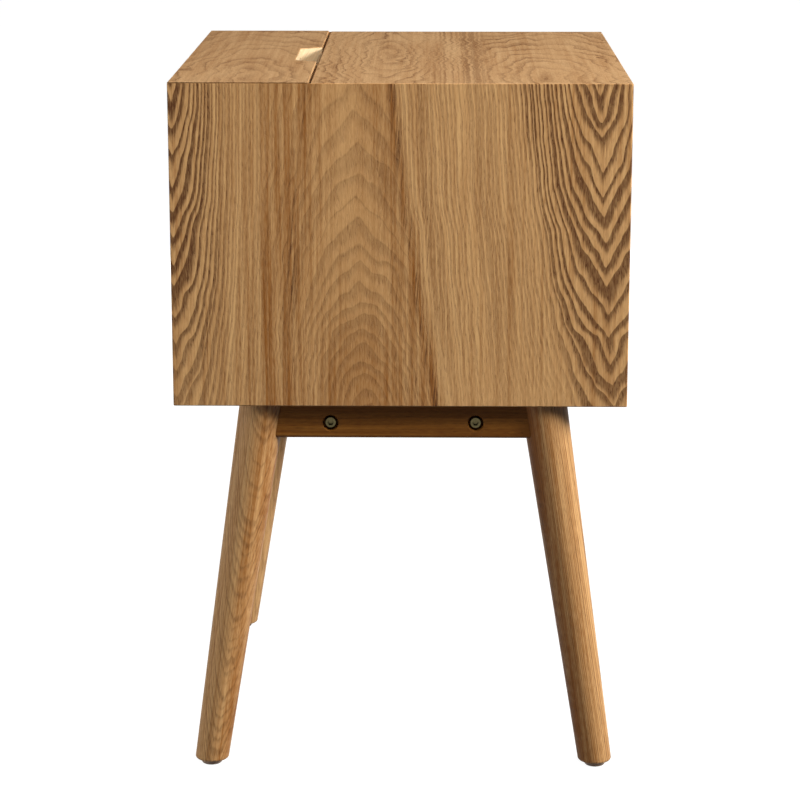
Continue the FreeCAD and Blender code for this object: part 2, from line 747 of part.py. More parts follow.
def make_cross_rail(end):
    """Rail between the side rails, bored for bolts, barrel nuts and the screws into the box."""
    y = cross_rail_y(end)
    half = RAIL_THICKNESS / 2
    rail = rounded_below(block((-CROSS_RAIL_X, CROSS_RAIL_X), (y - half, y + half), (RAIL_LOW, BOX_LOW)))
    for side in (-1, 1):
        start = V(side * CROSS_RAIL_X, y, BOLT_Z)
        rail = rail.cut(Part.makeCylinder(BOLT_RADIUS + BOLT_CLEARANCE, BOLT_LENGTH, start, X_AXIS * -side))
        nut_x = side * (CROSS_RAIL_X - NUT_INSET)
        nut_top = BOLT_Z + NUT_LENGTH / 2
        rail = rail.cut(Part.makeCylinder(NUT_RADIUS, nut_top - RAIL_LOW, V(nut_x, y, RAIL_LOW), Z_AXIS))
        pocket = V(side * FRAME_SCREW_X, y, RAIL_LOW)
        rail = rail.cut(Part.makeCylinder(FRAME_SCREW_POCKET_RADIUS, FRAME_SCREW_POCKET, pocket, Z_AXIS))
    return rail


def build_box():
    tongues = [(tongue, tongue) for tongue in make_mitre_tongues()]
    dowels = make_carcase_dowels()
    back_screws = make_back_screws()
    runner_screws = make_runner_screws()
    pegs = make_stop_pegs()
    frame_screws = make_frame_screws()
    fixed_leaf_screws = make_leaf_screws(-1)
    panel = make_side_panel()
    panel_fasteners = tongues + dowels + back_screws + runner_screws
    save("side_panel_left", bored(panel, panel_fasteners))
    save("side_panel_right", bored(mirror_x(panel), panel_fasteners))
    save("fixed_top", bored(end_mitred_board(1, (FRONT_Y, TOP_REAR_Y)), tongues))
    save("bottom_panel", bored(make_bottom_panel(), tongues + back_screws + pegs + frame_screws))
    save("back_panel", bored(make_back_panel(), back_screws))
    divider = block((-INNER_X, INNER_X), (DIVIDER_Y, DIVIDER_Y + BOARD), (INNER_LOW, INNER_TOP))
    save("divider_panel", bored(divider, dowels))
    hinge_rail = bored(make_hinge_rail(), dowels + back_screws)
    for x in (-HINGE_X, HINGE_X):
        hinge_rail = hinge_rail.cut(hinge_seat(x, -1))
    save("hinge_rail", bored(hinge_rail, fixed_leaf_screws))
    rail_y = (DRAWER_RAIL_Y, DRAWER_RAIL_Y + DRAWER_RAIL_DEPTH)
    rail_z = (RAIL_MIDDLE_Z - BOARD / 2, RAIL_MIDDLE_Z + BOARD / 2)
    save("drawer_rail", bored(block((-INNER_X, INNER_X), rail_y, rail_z), dowels + pegs))
    for level, box_low in BOX_LOWS.items():
        middle = runner_z(box_low)
        for side_name, side in SIDES:
            runner = block(
                span(side * INNER_X, side * (INNER_X - RUNNER_THICKNESS)),
                (RUNNER_FRONT_Y, RUNNER_REAR_Y),
                (middle - RUNNER_HEIGHT / 2, middle + RUNNER_HEIGHT / 2),
            )
            save(f"{level}_{side_name}_runner", bored(runner, runner_screws))
    pads = [
        Part.makeCylinder(PAD_RADIUS, LID_PROUD, V(x, LID_FRONT_Y + PAD_INSET, INNER_TOP), Z_AXIS)
        for x in (-PAD_X, PAD_X)
    ]
    save("mitre_tongues", *solids_of(tongues))
    save("carcase_dowels", *solids_of(dowels))
    save("back_panel_screws", *solids_of(back_screws))
    save("runner_screws", *solids_of(runner_screws))
    save("drawer_stop_pegs", *solids_of(pegs))
    save("lid_rest_pads", *pads)
    save("frame_screws", *solids_of(frame_screws))
    save("fixed_leaf_screws", *solids_of(fixed_leaf_screws))


def build_lid():
    lid = make_lid()
    leaf_screws = make_leaf_screws(1)
    for side_name, side in SIDES:
        x = side * HINGE_X
        lid = lid.cut(hinge_seat(x, 1))
        fixed_leaf = make_leaf(x, -1, PIN_RADIUS)
        moving_leaf = make_leaf(x, 1, PIN_RADIUS + PIN_PLAY)
        save(f"{side_name}_hinge_fixed_leaf", bored(fixed_leaf, make_leaf_screws(-1)))
        save(f"{side_name}_hinge_moving_leaf", bored(moving_leaf, leaf_screws))
        save(f"{side_name}_hinge_pin", make_hinge_pin(x))
    save("lid", bored(lid, leaf_screws))
    save("moving_leaf_screws", *solids_of(leaf_screws))


def build_leg_frame():
    dowels = make_frame_dowels()
    frame_screws = make_frame_screws()
    bolts = []
    nuts = []
    for side_name, side in SIDES:
        save(f"side_rail_{side_name}", bored(make_side_rail(side), dowels))
        for end_name, end in ENDS:
            save(f"leg_{end_name}_{side_name}", bored(make_leg(side, end), dowels))
            save(f"glide_{end_name}_{side_name}", make_glide(side, end))
            bolts.append(make_frame_bolt(side, end))
            nuts.append(make_barrel_nut(side, end))
    for end_name, end in ENDS:
        save(f"cross_rail_{end_name}", bored(make_cross_rail(end), dowels + frame_screws))
    save("frame_bolts", *bolts)
    save("barrel_nuts", *nuts)
    save("frame_dowels", *solids_of(dowels))


build_box()
build_lid()
for drawer_name in BOX_LOWS:
    make_drawer(drawer_name, FRONT_LOWS[drawer_name], BOX_LOWS[drawer_name])
build_leg_frame()

os.makedirs("parts", exist_ok=True)
for part_name, shape in parts.items():
    if not shape.isValid():
        raise ValueError(f"{part_name} is not a valid solid")
    shape.exportStep(f"parts/{part_name}.step")
    print(f"{part_name}: {len(shape.Solids)} solids, {shape.Volume / 1000:.1f} cm3")
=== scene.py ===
import math

import bpy
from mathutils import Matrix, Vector


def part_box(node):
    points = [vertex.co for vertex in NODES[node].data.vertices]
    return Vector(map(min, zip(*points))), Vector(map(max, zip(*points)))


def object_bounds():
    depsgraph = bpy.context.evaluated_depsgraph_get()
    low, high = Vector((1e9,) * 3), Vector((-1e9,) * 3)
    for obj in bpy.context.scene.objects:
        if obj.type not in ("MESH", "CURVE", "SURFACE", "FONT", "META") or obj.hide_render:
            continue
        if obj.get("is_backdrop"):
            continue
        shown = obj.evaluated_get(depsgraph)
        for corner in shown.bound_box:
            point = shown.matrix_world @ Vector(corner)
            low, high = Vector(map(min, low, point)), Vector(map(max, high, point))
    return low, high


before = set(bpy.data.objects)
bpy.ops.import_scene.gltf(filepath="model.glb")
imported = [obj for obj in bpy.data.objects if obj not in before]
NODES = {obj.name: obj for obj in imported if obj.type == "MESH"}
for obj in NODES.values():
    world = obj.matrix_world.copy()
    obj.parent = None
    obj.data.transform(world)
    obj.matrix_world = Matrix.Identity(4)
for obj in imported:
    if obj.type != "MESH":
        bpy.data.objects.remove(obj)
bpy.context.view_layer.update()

MM = 0.001
WHITE = (1.0, 1.0, 1.0, 1.0)

# The camera stands off the cabinet's left side and looks along +X and a little down. Its place and its target
# are in metres, its lens and sensor in millimetres.
CAMERA_AT = (-2.457, -0.031, 0.893)
CAMERA_TARGET = (-0.225, 0.0, 0.351)
LENS = 117.3
SENSOR = 36.0

# Each light's name, its place, the point it faces, its width and height, and its power. The power is in
# watts, the rest in metres.
LIGHTS = (
    ("key", (-1.0, -2.85, 1.7), (0.0, 0.0, 0.35), (0.8, 0.8), 155.0),
    ("overhead", (-1.7, -0.9, 2.7), (-0.1, 0.0, 0.45), (1.8, 1.8), 57.0),
    ("rim", (-0.22, 2.0, 0.3), (-0.19, 0.15, 0.2), (0.12, 0.5), 9.0),
    ("leg fill", (-0.95, 1.15, 0.1), (-0.19, 0.15, 0.18), (0.2, 0.2), 2.6),
    ("right fill", (2.4, 0.3, 0.32), (0.0, 0.0, 0.36), (1.6, 0.5), 26.0),
)

# The world's light is GROUND_LIGHT from below SKY_STARTS, and stronger by SKY_LIGHT from above SKY_FULL. Both
# limits are sines of the angle above the horizon. The camera sees BACKDROP in place of that light.
SKY_LIGHT = 0.18
GROUND_LIGHT = 0.02
SKY_STARTS = -0.15
SKY_FULL = 0.6
BACKDROP = 1.06

FLOOR_SIZE = 40.0
FLOOR_COLOUR = (0.16, 0.16, 0.16, 1.0)
FLOOR_ROUGHNESS = 0.9
FLOOR_GLOW = 0.97

# The notch in the lid's front edge, in millimetres.
NOTCH_DEPTH = 20.0
NOTCH_HALF = 64.0


# ------------------------------------------------------------ numbers and colours that vary over a surface

# The sockets of a mix node that take and give its share and its colours.
MIX_SHARE = 0
MIX_FIRST = 6
MIX_SECOND = 7
MIX_RESULT = 2


class Field:
    """A number that varies over a surface: the output of a shader node.

    Sums and products of fields build nodes.
    """

    def __init__(self, tree, socket):
        self.tree = tree
        self.socket = socket

    def math(self, operation, *others):
        node = self.tree.nodes.new("ShaderNodeMath")
        node.operation = operation
        for slot, value in zip(node.inputs, (self, *others)):
            connect(self.tree, value, slot)
        return Field(self.tree, node.outputs[0])

    def __add__(self, other):
        return self.math("ADD", other)

    def __sub__(self, other):
        return self.math("SUBTRACT", other)

    def __mul__(self, other):
        return self.math("MULTIPLY", other)

    def __truediv__(self, other):
        return self.math("DIVIDE", other)

    def __pow__(self, other):
        return self.math("POWER", other)

    def __neg__(self):
        return self * -1.0

    def __rsub__(self, other):
        return self * -1.0 + other

    def __abs__(self):
        return self.math("ABSOLUTE")

    __radd__ = __add__
    __rmul__ = __mul__


def connect(tree, value, slot):
    """Gives a node's input a field or a constant."""
    if isinstance(value, Field):
        tree.links.new(value.socket, slot)
    else:
        slot.default_value = value


def smooth(value, low, high):
    """0 where value is under low and 1 where it is over high, with a soft step between.

    With low above high, it falls from 1 to 0.
    """
    node = value.tree.nodes.new("ShaderNodeMapRange")
    node.interpolation_type = "SMOOTHSTEP"
    for name, given in (("Value", value), ("From Min", low), ("From Max", high)):
        connect(value.tree, given, node.inputs[name])
    return Field(value.tree, node.outputs["Result"])


def bump_at(value, centre, width):
    """1 where value is at centre, and down to 0 at width on either side."""
    return smooth(abs(value - centre), width, 0.0)


def noise(x, y, z=0.0, detail=2.0):
    """Smooth random field between about -0.5 and 0.5. Its features are about one unit across."""
    tree = x.tree
    place = tree.nodes.new("ShaderNodeCombineXYZ")
    for value, slot in zip((x, y, z), place.inputs):
        connect(tree, value, slot)
    node = tree.nodes.new("ShaderNodeTexNoise")
    node.inputs["Scale"].default_value = 1.0
    node.inputs["Detail"].default_value = detail
    tree.links.new(place.outputs[0], node.inputs["Vector"])
    return Field(tree, node.outputs["Fac"]) - 0.5


def choose(switch, first, second):
    """first where switch is 0 and second where it is 1."""
    return first + switch * (second - first)


def soft_abs(value, radius):
    """The size of value without its sign, rounded off within radius of 0."""
    return (value * value + radius * radius) ** 0.5


def srgb(red, green, blue):
    """A linear colour from the 0 to 255 values that a screen shows, by the sRGB curve."""
    return [((c / 255 + 0.055) / 1.055) ** 2.4 if c > 10 else c / 3294 for c in (red, green, blue)] + [1.0]


def darker(colour, share):
    """The colour with its red, green and blue each multiplied by share."""
    return [c * share for c in colour[:3]] + [1.0]


def blend_colour(tree, share, first, second):
    node = tree.nodes.new("ShaderNodeMix")
    node.data_type = "RGBA"
    for value, slot in ((share, MIX_SHARE), (first, MIX_FIRST), (second, MIX_SECOND)):
        if isinstance(value, bpy.types.NodeSocket):
            tree.links.new(value, node.inputs[slot])
        else:
            connect(tree, value, node.inputs[slot])
    return node.outputs[MIX_RESULT]


# ------------------------------------------------------------ what all materials share

def new_material(name):
    material = bpy.data.materials.new(name)
    material.use_nodes = True
    tree = material.node_tree
    tree.nodes.clear()
    shader = tree.nodes.new("ShaderNodeBsdfPrincipled")
    output = tree.nodes.new("ShaderNodeOutputMaterial")
    tree.links.new(shader.outputs["BSDF"], output.inputs["Surface"])
    return material, tree, shader


def places(tree):
    """x, y and z of the surface point in the cabinet's frame, in millimetres."""
    source = tree.nodes.new("ShaderNodeTexCoord")
    split = tree.nodes.new("ShaderNodeSeparateXYZ")
    tree.links.new(source.outputs["Object"], split.inputs[0])
    return [Field(tree, socket) / MM for socket in split.outputs]


def set_bump(tree, shader, height, distance):
    node = tree.nodes.new("ShaderNodeBump")
    node.inputs["Distance"].default_value = distance
    tree.links.new(height.socket, node.inputs["Height"])
    tree.links.new(node.outputs["Normal"], shader.inputs["Normal"])


# ------------------------------------------------------------ oiled wood

# Palettes of light, brown and dark wood, and the colour of wood that was cut after oiling, which is also a
# painted highlight: it paints the notch's faces paler and creamier than bare wood alone.
ASH = (srgb(206, 161, 106), srgb(134, 80, 24), srgb(84, 48, 18))
ASH_TOP = (srgb(212, 171, 122), srgb(150, 98, 48), srgb(104, 62, 26))
# Painted shade: the rails' palette is darker and redder than the ash elsewhere, for the shade under the box.
ASH_RAIL_PAINTED_SHADE = (srgb(150, 98, 38), srgb(110, 63, 18), srgb(70, 38, 10))
PALE = (srgb(222, 196, 152), srgb(192, 152, 104), srgb(150, 108, 66))
BEECH = (srgb(214, 176, 128), srgb(188, 138, 90), srgb(140, 92, 56))
RAW_CUT_AND_HIGHLIGHT = srgb(224, 200, 158)

OIL_GLOSS = 0.16
RAIL_GLOSS = 0.06
OIL_ROUGHNESS = 0.52
GRAIN_DEPTH = 0.12 * MM
SCRATCH_DEPTH = 0.02 * MM
MOULD_DEPTH = 0.04 * MM

# Each kind of mark in wood: its width across the grain and its length along it, in millimetres, and its seed.
FIBRE = (1.1, 8.0, 3.1)
THREAD = (2.2, 140.0, 8.2)
STREAK = (6.5, 300.0, 7.7)
BROAD = (26.0, 420.0, 1.3)
PORE = (0.75, 5.5, 5.5)
HAIR = (1.1, 14.0, 9.4)


def marks(across, along, kind):
    """Noise in marks of the given kind."""
    width, length, seed = kind
    return noise(across / width, along / length, seed)


def finish_wood(tree, shader, across, along, tone, rings, palette=ASH, straight=1.0, cut_and_lit=None,
                gloss=OIL_GLOSS):
    """Oiled wood: tone runs from light to brown, rings are the dark early wood, and pores are fine dashes.

    Straight is how strong the long streaks are. The raw-cut mask is 1 on faces that were cut after oiling,
    which it paints paler, partly as bare wood and partly as a painted highlight.
    """
    light, brown, dark = palette
    fibre = marks(across, along, FIBRE)
    thread = marks(across, along, THREAD) * straight
    streak = marks(across, along, STREAK) * straight
    broad = marks(across, along, BROAD)
    pores = smooth(marks(across, along, PORE), 0.06, 0.16)
    varied = tone * (1.0 + streak * 1.1 + thread * 0.5)
    tone = varied + fibre * 0.85 + thread * 1.35 + streak * 0.8 + broad * 0.4
    base = blend_colour(tree, smooth(tone, -0.5, 1.35), light, brown)
    shade = rings * (0.95 + fibre * 1.0) + pores * (0.14 + 0.3 * rings)
    colour = blend_colour(tree, shade.math("MINIMUM", 1.0), base, dark)
    # Painted highlight, in part: faces cut after oiling take a paler, creamier colour than bare wood alone,
    # for the light on them.
    if cut_and_lit is not None:
        colour = blend_colour(tree, cut_and_lit * (0.85 + fibre), colour, RAW_CUT_AND_HIGHLIGHT)
    tree.links.new(colour, shader.inputs["Base Color"])
    roughness = OIL_ROUGHNESS + fibre * 0.2 + rings * 0.12
    tree.links.new(roughness.socket, shader.inputs["Roughness"])
    shader.inputs["Specular IOR Level"].default_value = gloss
    set_bump(tree, shader, fibre * 0.3 - pores * 0.6 - rings * 0.35, GRAIN_DEPTH)


def ring_shade(rings, across, along, fade, line=0.0, edge=0.09, hairs=0.4):
    """Dark early wood, from ring numbers. Each ring turns dark over the share edge of it and fades over fade.

    Hairs is how far the dark frays into fine hairs, and line is how much of it is in a fine line where the
    ring starts. The rings vary in width, and each has its own fade.
    """
    width_change = noise(rings / 1.7, 0.37, 0.11, detail=1.0)
    hair = marks(across, along, HAIR)
    place = rings + width_change * 1.1 + hair * 0.06
    share = place.math("FRACT")
    own = noise(place.math("FLOOR") * 1.37, 0.5, 0.5, detail=0.0)
    own_fade = fade + own * 1.3
    band = smooth(share, 0.0, edge) * smooth(share + hair * hairs, own_fade + 0.26, own_fade - 0.2)
    return band * (1.0 - line) + bump_at(share, 0.1, 0.1) * line


def nested(side, fall, point, reach):
    """Ring number of nested arches. Side and fall are in rings; point makes the tips sharp within reach."""
    tip = (side / reach).math("TANH") * (reach * point)
    return (side * side + (fall + tip) ** 2.0) ** 0.5


def arm_rings(side, wide, bend, narrow):
    """Rings across an arch's arm: one each wide mm, and beyond bend one more each narrow mm."""
    beyond = side - bend
    return side / wide + (beyond + soft_abs(beyond, 8.0)) / 2 / narrow


# How many mm the grain moves across a board for each mm into it: in side panels, in boards that lie flat and
# in drawer fronts. It gives the boards' edges lines of their own.
SIDE_SLANT = 0.8
TOP_SLANT = 0.6
FRONT_SLANT = 0.7


# ------------------------------------------------------------ the side panels
#
# A side panel shows three figures. A glue joint parts the rear one from the middle one, and a slanted dark
# band parts that from the front one. Places are in millimetres, seen from outside: u from the panel's rear
# edge, and v down from its top. A heart is the u of a figure's middle at the top, and a lean is how much u
# grows for each mm down.

JOINT_U = 81.0
BAND_U = 194.0
REAR_HEART = 3.0
MIDDLE_HEART = 160.0
MIDDLE_LEAN = 0.03
FRONT_HEART = 371.0
FRONT_LEAN = 0.055


def side_places(tree, seed, face):
    """Plain u and v, and then a u and a v that waver as grain does.

    Face is the sign of x on the panel's outer face.
    """
    x, y, z = places(tree)
    low, high = [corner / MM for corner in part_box("side_panel_left")]
    depth = x * face + low.x
    plain_u = high.y - y - depth * SIDE_SLANT
    plain_v = high.z - z
    u = plain_u + noise(plain_u / 40.0, plain_v / 110.0, seed) * 6.0
    v = (plain_v + noise(plain_u / 9.0, plain_v / 60.0, seed + 2.0, detail=3.0) * 9.0
         + noise(plain_u / 28.0, plain_v / 50.0, seed + 3.0, detail=1.0) * 22.0)
    return plain_u, plain_v, u, v


def rings_down(v, lead, spacing, wave, seed):
    """Rings from lead mm above the panel's top, one each spacing mm, that waver in waves of wave mm."""
    return (v + lead) / spacing + noise(v / wave, seed, detail=1.0) * 1.4


def rear_rings(u, v, seed):
    """Pointed arches at the rear edge, their tips down."""
    side = soft_abs(u - REAR_HEART, 0.8)
    fall = rings_down(v, lead=26.0, spacing=23.5, wave=38.0, seed=seed + 4.0)
    return nested(arm_rings(side, wide=8.4, bend=11.0, narrow=4.4), fall, point=0.7, reach=1.8)


def middle_rings(u, v, seed):
    """Broad round arches, their tips up and closer together further down."""
    side = soft_abs(u - MIDDLE_HEART - v * MIDDLE_LEAN + noise(v / 45.0, seed + 6.0) * 18.0, 2.0)
    fall = 17.5 - v / 38.0 - v * v / 9500.0 + noise(v / 50.0, seed + 7.0, detail=1.0) * 1.2
    return -nested(side / 7.5 + side ** 2.0 / 900.0, fall, point=0.35, reach=1.6)


def front_rings(u, v, seed):
    """Pointed arches near the front edge, their tips down, whose arms turn into close lines."""
    side = soft_abs(u - FRONT_HEART - v * FRONT_LEAN + noise(v / 60.0, seed, detail=1.0) * 8.0, 0.8)
    fall = rings_down(v, lead=8.0, spacing=21.5, wave=34.0, seed=seed + 9.0)
    return nested(arm_rings(side, wide=14.0, bend=19.0, narrow=4.4), fall, point=1.1, reach=1.6)


def make_side_ash(name, seed, face):
    """The ash of a side panel, with its three figures."""
    material, tree, shader = new_material(name)
    plain_u, plain_v, u, v = side_places(tree, seed, face)
    middle = middle_rings(u, v, seed)

    # Which figure a place belongs to. Band is how far it is in front of the slanted band.
    band = u - BAND_U - v * 0.10 - v * v * 0.00016
    past_joint = smooth(u, JOINT_U - 0.2, JOINT_U + 0.2)
    past_band = smooth(band, -1.0, 1.0)
    in_middle = past_joint * (1.0 - past_band)

    def by_figure(at_rear, in_between, at_front):
        return choose(past_band, choose(past_joint, at_rear, in_between), at_front)

    # The rings, and how bold they are. The front figure's are bold in front of bold_border.
    rings = by_figure(rear_rings(u, v, seed), middle, front_rings(u, v, seed))
    shade = ring_shade(rings, u, v, fade=0.56 - in_middle * 0.06, line=in_middle * 0.4,
                       edge=0.09 + in_middle * 0.1, hairs=0.4 - in_middle * 0.25)
    bold_border = u - 306.0 - v * 0.19
    rear_bold = smooth(u, 62.0, 12.0) * smooth(v, 290.0, 150.0) * 0.45 + smooth(u, 66.0, 20.0) * 0.2 + 0.26
    middle_bold = smooth(v, 0.0, 200.0) * 0.08 + 0.34
    front_bold = smooth(bold_border, -16.0, 6.0) * 0.54 + 0.3 - smooth(v, 200.0, 285.0) * 0.15
    bold = by_figure(rear_bold, middle_bold, front_bold)

    # Thin dark lines, in the slanted band and in four other strips. One of these is beside dark_edge, where
    # the browner wood that starts at the joint ends.
    dark_edge = 127.0 - v * 0.16 + v * v * 0.0003
    slanted = bump_at(band, -2.0, 7.5)
    lines = smooth(noise(u / 1.5 + v * 0.06, v / 150.0, 4.4), -0.02, 0.1)
    lined = (
        slanted * 0.62
        + bump_at(band, -19.0, 15.0) * 0.2  # behind the slanted band
        + bump_at(u, dark_edge - 4.0, 11.0) * 0.26  # along the brown wood's edge
        + bump_at(u, 108.0 - v * 0.015, 5.0) * 0.3  # in the brown wood
        + bump_at(u - 217.0 - v * 0.05, 0.0, 4.0) * 0.24  # nearly upright, and low down on the slanted band
    )

    # Browner and paler parts.
    brown_wood = smooth(u, JOINT_U - 0.2, JOINT_U + 1.5) * smooth(u - dark_edge, 2.0, -6.0)
    heart = smooth(middle, -10.0, -4.5) * smooth(v, 110.0, 230.0)
    tone = (
        0.25
        + brown_wood * 0.27
        + bump_at(u, dark_edge, 8.0) * 0.16
        + heart * 0.25 * in_middle  # the middle figure's innermost rings
        + in_middle * smooth(v, 60.0, 260.0) * 0.1  # the middle figure further down
        + slanted * 0.4
        + bump_at(band, -14.0, 16.0) * 0.25  # a brown strip behind the slanted band
        - bump_at(band, 9.0, 5.0) * 0.4  # a pale streak in front of it
        - bump_at(u - 225.0 - v * 0.114, 0.0, 3.0) * 0.25  # a narrower pale streak, further forward
        - smooth(band, 16.0, 50.0) * 0.1  # the paler wood of the front figure
        - bump_at(u - 66.0 + v * 0.06, 0.0, 4.0) * 0.35  # a pale streak behind the joint
        + smooth(bold_border, -20.0, 4.0) * 0.08
    )

    straight = 1.0 - 0.75 * in_middle * bump_at(u, MIDDLE_HEART + v * MIDDLE_LEAN, 38.0)
    finish_wood(tree, shader, plain_u, plain_v, tone, shade * bold + lines * lined, ASH, straight)
    return material


# ------------------------------------------------------------ boards with the grain along X

# Closed figures: place across the board and along it, then millimetres a ring across and along.
TOP_EYES = ((212.0, 0.0, 8.0, 60.0), (68.0, -170.0, 13.0, 44.0))
LID_EYES = ((52.0, -190.0, 12.0, 52.0),)


def eye_rings(across, along, eyes):
    """Ring numbers of closed figures, run together where they meet."""
    rings = None
    for centre_across, centre_along, ring_across, ring_along in eyes:
        side = soft_abs(across - centre_across, 2.0) / ring_across
        length = abs(along - centre_along) / ring_along
        figure = (side * side + length * length) ** 0.5
        rings = figure if rings is None else rings.math("SMOOTH_MIN", figure, 2.0)
    return rings


def with_lines_at(lines_at, shade, across, x, seed):
    """The shade, with close parallel lines in its place near lines_at, most kinked in the board's middle."""
    kinks = noise(x / 26.0, across / 50.0, seed + 6.0) * (bump_at(x, 30.0, 150.0) * 22.0 + 5.0)
    parallel = ring_shade((across + kinks) / 4.8, across, x, fade=0.5, line=0.4, edge=0.25, hairs=0.1)
    beside = bump_at(across + noise(x / 60.0, seed + 7.0) * 16.0, lines_at, 38.0)
    return choose(smooth(beside, 0.1, 0.6), shade, parallel * 1.1)


def notch_faces(x, y, z, low, top):
    """1 on the cut faces of the lid's notch, and 0 on the rest of the lid."""
    within_depth = smooth(y - low.y, NOTCH_DEPTH + 0.5, NOTCH_DEPTH + 0.2)
    within = within_depth * smooth(abs(x), NOTCH_HALF + 0.6, NOTCH_HALF + 0.3)
    return within * smooth(z, top - 0.4, top - 0.9) * smooth(z, low.z + 0.1, low.z + 0.5)


def make_across_ash(name, node, seed, eyes, tone, bold, palette=ASH_TOP, notch=False, lines_at=None):
    """A flat-sawn board with closed figures. Bold is how strong its rings are."""
    material, tree, shader = new_material(name)
    x, y, z = places(tree)
    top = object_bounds()[1].z / MM
    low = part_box(node)[0] / MM
    plain_across = y - low.y + (z - top) * TOP_SLANT
    along = (x + noise(plain_across / 22.0, x / 90.0, seed + 1.0, detail=3.0) * 90.0
             + noise(plain_across / 70.0, x / 160.0, seed + 3.0) * 160.0)
    across = (plain_across + noise(plain_across / 45.0, x / 110.0, seed) * 44.0
              + noise(x / 20.0, plain_across / 60.0, seed + 2.0) * 13.0)
    strength = smooth(noise(plain_across / 35.0, x / 200.0, seed + 5.0), -0.2, 0.22) * 0.7 + 0.3
    rings = eye_rings(across, along, eyes)
    shade = ring_shade(rings, across, along, fade=0.45, line=0.6, edge=0.25, hairs=0.1)
    if lines_at is not None:
        shade = with_lines_at(lines_at, shade, plain_across, x, seed)
    patches = noise(plain_across / 30.0, x / 120.0, seed + 8.0) * 0.5
    # The notch's cut faces get the raw-cut colour, which is partly a painted highlight.
    cut_and_lit = notch_faces(x, y, z, low, top) if notch else None
    finish_wood(tree, shader, plain_across, x, tone + patches + strength * 0.12, shade * strength * bold,
                palette, straight=0.5, cut_and_lit=cut_and_lit)
    return material


# ------------------------------------------------------------ legs

# Each leg's turn in degrees, rise, ring, bold, tone and side shade, as make_leg_ash takes them. The side
# shade is painted shade towards +Y, and a painted highlight there where it is below 0.
LEGS = {
    "front_left": (82, 0.004, 1.55, 0.45, 0.36, 0.6),
    "rear_left": (15, 0.085, 2.4, 0.36, 0.7, -0.45),
    "front_right": (160, 0.06, 2.0, 0.4, 0.4, 0.1),
    "rear_right": (60, 0.03, 1.55, 0.3, 0.3, 0.0),
}
FIRST_LEG_SEED = 40.0

# Each pair of rails: its kind, the axis it runs along, its seed, and where the two rails are.
RAILS = (("side", 1, 51.0, ("left", "right")), ("cross", 0, 53.0, ("front", "rear")))


def leg_line(node, glide):
    """Centres of a leg's top and foot in millimetres, from the leg's box and its glide's box."""
    low, high = [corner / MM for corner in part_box(node)]
    foot_low, foot_high = [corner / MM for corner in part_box(glide)]
    foot = (foot_low + foot_high) / 2
    radius = (high.x - low.x) / 2
    middle_y = (low.y + high.y) / 2
    top_y = low.y + radius if foot.y > middle_y else high.y - radius
    return Vector((foot.x, top_y, high.z)), foot


def make_leg_ash(name, node, glide, turn, rise, ring, bold, tone, painted_side_shade, seed):
    """A turned leg. Its rings are nearly flat sheets, one each ring mm, turned by turn round the leg.

    Each mm up the leg takes rise off the ring number. Bold is the rings' strength, and the side shade is how
    much browner than tone the wood is painted towards +Y: painted shade on that side, and a painted highlight
    there where it is below 0.
    """
    material, tree, shader = new_material(name)
    x, y, z = places(tree)
    top, foot = leg_line(node, glide)
    slope = (top.y - foot.y) / (top.z - foot.z)
    across = y - foot.y - (z - foot.z) * slope
    depth = x - foot.x
    along = z + noise(z / 60.0, across / 6.0, seed) * 14.0
    sheet = depth * math.cos(turn) + across * math.sin(turn)
    side = across * math.cos(turn) - depth * math.sin(turn)
    rings = sheet / ring + side * side / 260.0 - along * rise + noise(side / 7.0, along / 90.0, seed) * 1.1
    shade = ring_shade(rings, side, along, fade=0.45, edge=0.3, hairs=0.25)
    # Painted shade: the wood is browner towards +Y by the side shade, and paler there, as a painted
    # highlight, where that is below 0.
    finish_wood(tree, shader, side + sheet, z, smooth(across, -8.0, 10.0) * painted_side_shade + tone, shade * bold)
    return material


# ------------------------------------------------------------ drawer fronts, rails and inner boards

# How far before heart_x a drawer front's arches start, and how wide their rings are along X, in millimetres.
ARCH_LEAD = 260.0
ARCH_RING = 30.0
FRONT_TONE = 0.28
FRONT_BOLD = 0.42


def make_front_ash(name, seed, rise, heart_x):
    """A flat-sawn drawer front, its grain along X. Its name says whether it is the upper or the lower one.

    Its pointed arches lie on their side, with their tips towards +X, rise mm above the front's lower edge.
    """
    material, tree, shader = new_material(name)
    x, y, z = places(tree)
    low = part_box(name.replace("ash_front_", "") + "_drawer_front")[0] / MM
    plain_across = z - low.z + (y - low.y) * FRONT_SLANT
    across = plain_across + noise(x / 120.0, plain_across / 30.0, seed) * 14.0
    along = x + noise(plain_across / 7.0, x / 60.0, seed + 2.0, detail=3.0) * 16.0
    side = soft_abs(across - rise, 1.5)
    fall = (along - heart_x + ARCH_LEAD) / ARCH_RING
    rings = nested(side / 6.5 + side ** 2.0 / 420.0, fall, point=0.5, reach=1.2)
    shade = ring_shade(rings, plain_across, x, fade=0.45, line=0.2, edge=0.15)
    tone = FRONT_TONE + smooth(side, 30.0, 0.0) * 0.15
    finish_wood(tree, shader, plain_across, x, tone, shade * FRONT_BOLD)
    return material


def make_plain_wood(name, along_axis, seed, palette, tone, bold, ring=3.4, gloss=OIL_GLOSS):
    """Quarter-sawn wood with fine straight grain along one of the axes 0, 1 or 2."""
    material, tree, shader = new_material(name)
    point = places(tree)
    along = point.pop(along_axis)
    first, second = point
    across = first + second * 0.8 + noise(along / 160.0, (first + second) / 20.0, seed) * 6.0
    shade = ring_shade(across / ring, across, along, fade=0.45)
    finish_wood(tree, shader, across, along, tone, shade * bold, palette, gloss=gloss)
    return material


# ------------------------------------------------------------ metal and plastic

